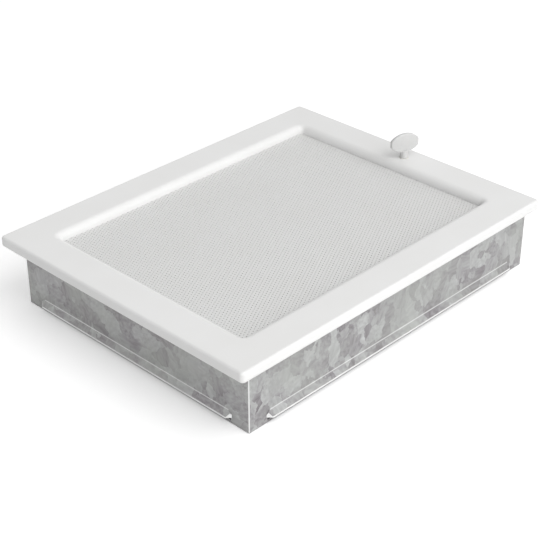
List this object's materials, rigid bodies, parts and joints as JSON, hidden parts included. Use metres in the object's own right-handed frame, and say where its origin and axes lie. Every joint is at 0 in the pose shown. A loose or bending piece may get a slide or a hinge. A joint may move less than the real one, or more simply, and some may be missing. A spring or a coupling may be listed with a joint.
{
  "type": "louvred vent grille",
  "caption": "Rectangular wall vent grille: white pressed frame with a fine mesh, turning louvre blades behind it worked by a thumb knob, and a galvanised wall box.",
  "frame": {"origin": "middle of the rear edge plane of the wall box, under the middle of the front frame", "axes": "+Z towards the room, out of the front face; +X along the long side, towards the knob"},
  "size_m": [0.3, 0.236, 0.073],
  "materials": {
    "white_coat": "satin powder coat on sheet steel",
    "zinc_sheet": "hot-dip galvanised sheet with a fine spangle",
    "zinc_steel": "zinc plated",
    "spring_steel": "plain spring steel",
    "nylon": "natural moulded",
    "white_plastic": "moulded, slightly glossy"
  },
  "bodies": {
    "housing": {"wall_box": "zinc_sheet", "front_frame": "white_coat", "louvre_case": "white_coat", "mesh_panel": "white_coat", "shaft_spacers": "nylon", "stem_bush": "nylon", "spring_clip_1": "spring_steel", "spring_clip_2": "spring_steel", "spring_clip_3": "spring_steel", "spring_clip_4": "spring_steel", "clip_rivets": "zinc_steel"},
    "louvre_1": {"blade_1": "white_coat", "pivot_pins_1": "zinc_steel", "drive_arm_1": "zinc_steel"},
    "louvre_2": {"blade_2": "white_coat", "pivot_pins_2": "zinc_steel", "drive_arm_2": "zinc_steel"},
    "louvre_3": {"blade_3": "white_coat", "pivot_pins_3": "zinc_steel", "drive_arm_3": "zinc_steel"},
    "louvre_4": {"blade_4": "white_coat", "pivot_pins_4": "zinc_steel", "drive_arm_4": "zinc_steel"},
    "louvre_5": {"blade_5": "white_coat", "pivot_pins_5": "zinc_steel", "drive_arm_5": "zinc_steel"},
    "louvre_6": {"blade_6": "white_coat", "pivot_pins_6": "zinc_steel", "drive_arm_6": "zinc_steel"},
    "louvre_7": {"blade_7": "white_coat", "pivot_pins_7": "zinc_steel", "drive_arm_7": "zinc_steel"},
    "louvre_8": {"blade_8": "white_coat", "pivot_pins_8": "zinc_steel", "drive_arm_8": "zinc_steel"},
    "louvre_9": {"blade_9": "white_coat", "pivot_pins_9": "zinc_steel", "drive_arm_9": "zinc_steel"},
    "louvre_10": {"blade_10": "white_coat", "pivot_pins_10": "zinc_steel", "drive_arm_10": "zinc_steel"},
    "link": {"link_bar": "zinc_steel", "link_pins": "zinc_steel"},
    "knob": {"knob_grip": "white_plastic", "knob_spindle": "zinc_steel", "friction_washer": "zinc_steel", "spindle_clip": "zinc_steel", "crank_arm": "zinc_steel", "crank_pin": "zinc_steel", "crank_ring": "zinc_steel"}
  },
  "joints": [
    {"name": "louvre_1_turn", "type": "hinge", "parent": "housing", "child": "louvre_1", "pos_m": [0, -0.08325, 0.03485], "axis": [1, 0, 0], "range_deg": [0, 80]},
    {"name": "louvre_2_turn", "type": "hinge", "parent": "housing", "child": "louvre_2", "pos_m": [0, -0.06475, 0.03485], "axis": [1, 0, 0], "range_deg": [0, 80]},
    {"name": "louvre_3_turn", "type": "hinge", "parent": "housing", "child": "louvre_3", "pos_m": [0, -0.04625, 0.03485], "axis": [1, 0, 0], "range_deg": [0, 80]},
    {"name": "louvre_4_turn", "type": "hinge", "parent": "housing", "child": "louvre_4", "pos_m": [0, -0.02775, 0.03485], "axis": [1, 0, 0], "range_deg": [0, 80]},
    {"name": "louvre_5_turn", "type": "hinge", "parent": "housing", "child": "louvre_5", "pos_m": [0, -0.00925, 0.03485], "axis": [1, 0, 0], "range_deg": [0, 80]},
    {"name": "louvre_6_turn", "type": "hinge", "parent": "housing", "child": "louvre_6", "pos_m": [0, 0.00925, 0.03485], "axis": [1, 0, 0], "range_deg": [0, 80]},
    {"name": "louvre_7_turn", "type": "hinge", "parent": "housing", "child": "louvre_7", "pos_m": [0, 0.02775, 0.03485], "axis": [1, 0, 0], "range_deg": [0, 80]},
    {"name": "louvre_8_turn", "type": "hinge", "parent": "housing", "child": "louvre_8", "pos_m": [0, 0.04625, 0.03485], "axis": [1, 0, 0], "range_deg": [0, 80]},
    {"name": "louvre_9_turn", "type": "hinge", "parent": "housing", "child": "louvre_9", "pos_m": [0, 0.06475, 0.03485], "axis": [1, 0, 0], "range_deg": [0, 80]},
    {"name": "louvre_10_turn", "type": "hinge", "parent": "housing", "child": "louvre_10", "pos_m": [0, 0.08325, 0.03485], "axis": [1, 0, 0], "range_deg": [0, 80]},
    {"name": "link_swing", "type": "hinge", "parent": "louvre_1", "child": "link", "pos_m": [0.1317, -0.08004, 0.03868], "axis": [1, 0, 0], "range_deg": [-80, 0]},
    {"name": "knob_turn", "type": "hinge", "parent": "housing", "child": "knob", "pos_m": [0.1348, -0.0046, 0.053], "axis": [0, 0, 1], "range_deg": [0, 90]}
  ],
  "couplings": [
    {"joint": "louvre_2_turn", "follows": "louvre_1_turn", "ratio": 1},
    {"joint": "louvre_3_turn", "follows": "louvre_1_turn", "ratio": 1},
    {"joint": "louvre_4_turn", "follows": "louvre_1_turn", "ratio": 1},
    {"joint": "louvre_5_turn", "follows": "louvre_1_turn", "ratio": 1},
    {"joint": "louvre_6_turn", "follows": "louvre_1_turn", "ratio": 1},
    {"joint": "louvre_7_turn", "follows": "louvre_1_turn", "ratio": 1},
    {"joint": "louvre_8_turn", "follows": "louvre_1_turn", "ratio": 1},
    {"joint": "louvre_9_turn", "follows": "louvre_1_turn", "ratio": 1},
    {"joint": "louvre_10_turn", "follows": "louvre_1_turn", "ratio": 1},
    {"joint": "link_swing", "follows": "louvre_1_turn", "ratio": -1},
    {"joint": "knob_turn", "follows": "louvre_1_turn", "ratio": 1.125}
  ]
}
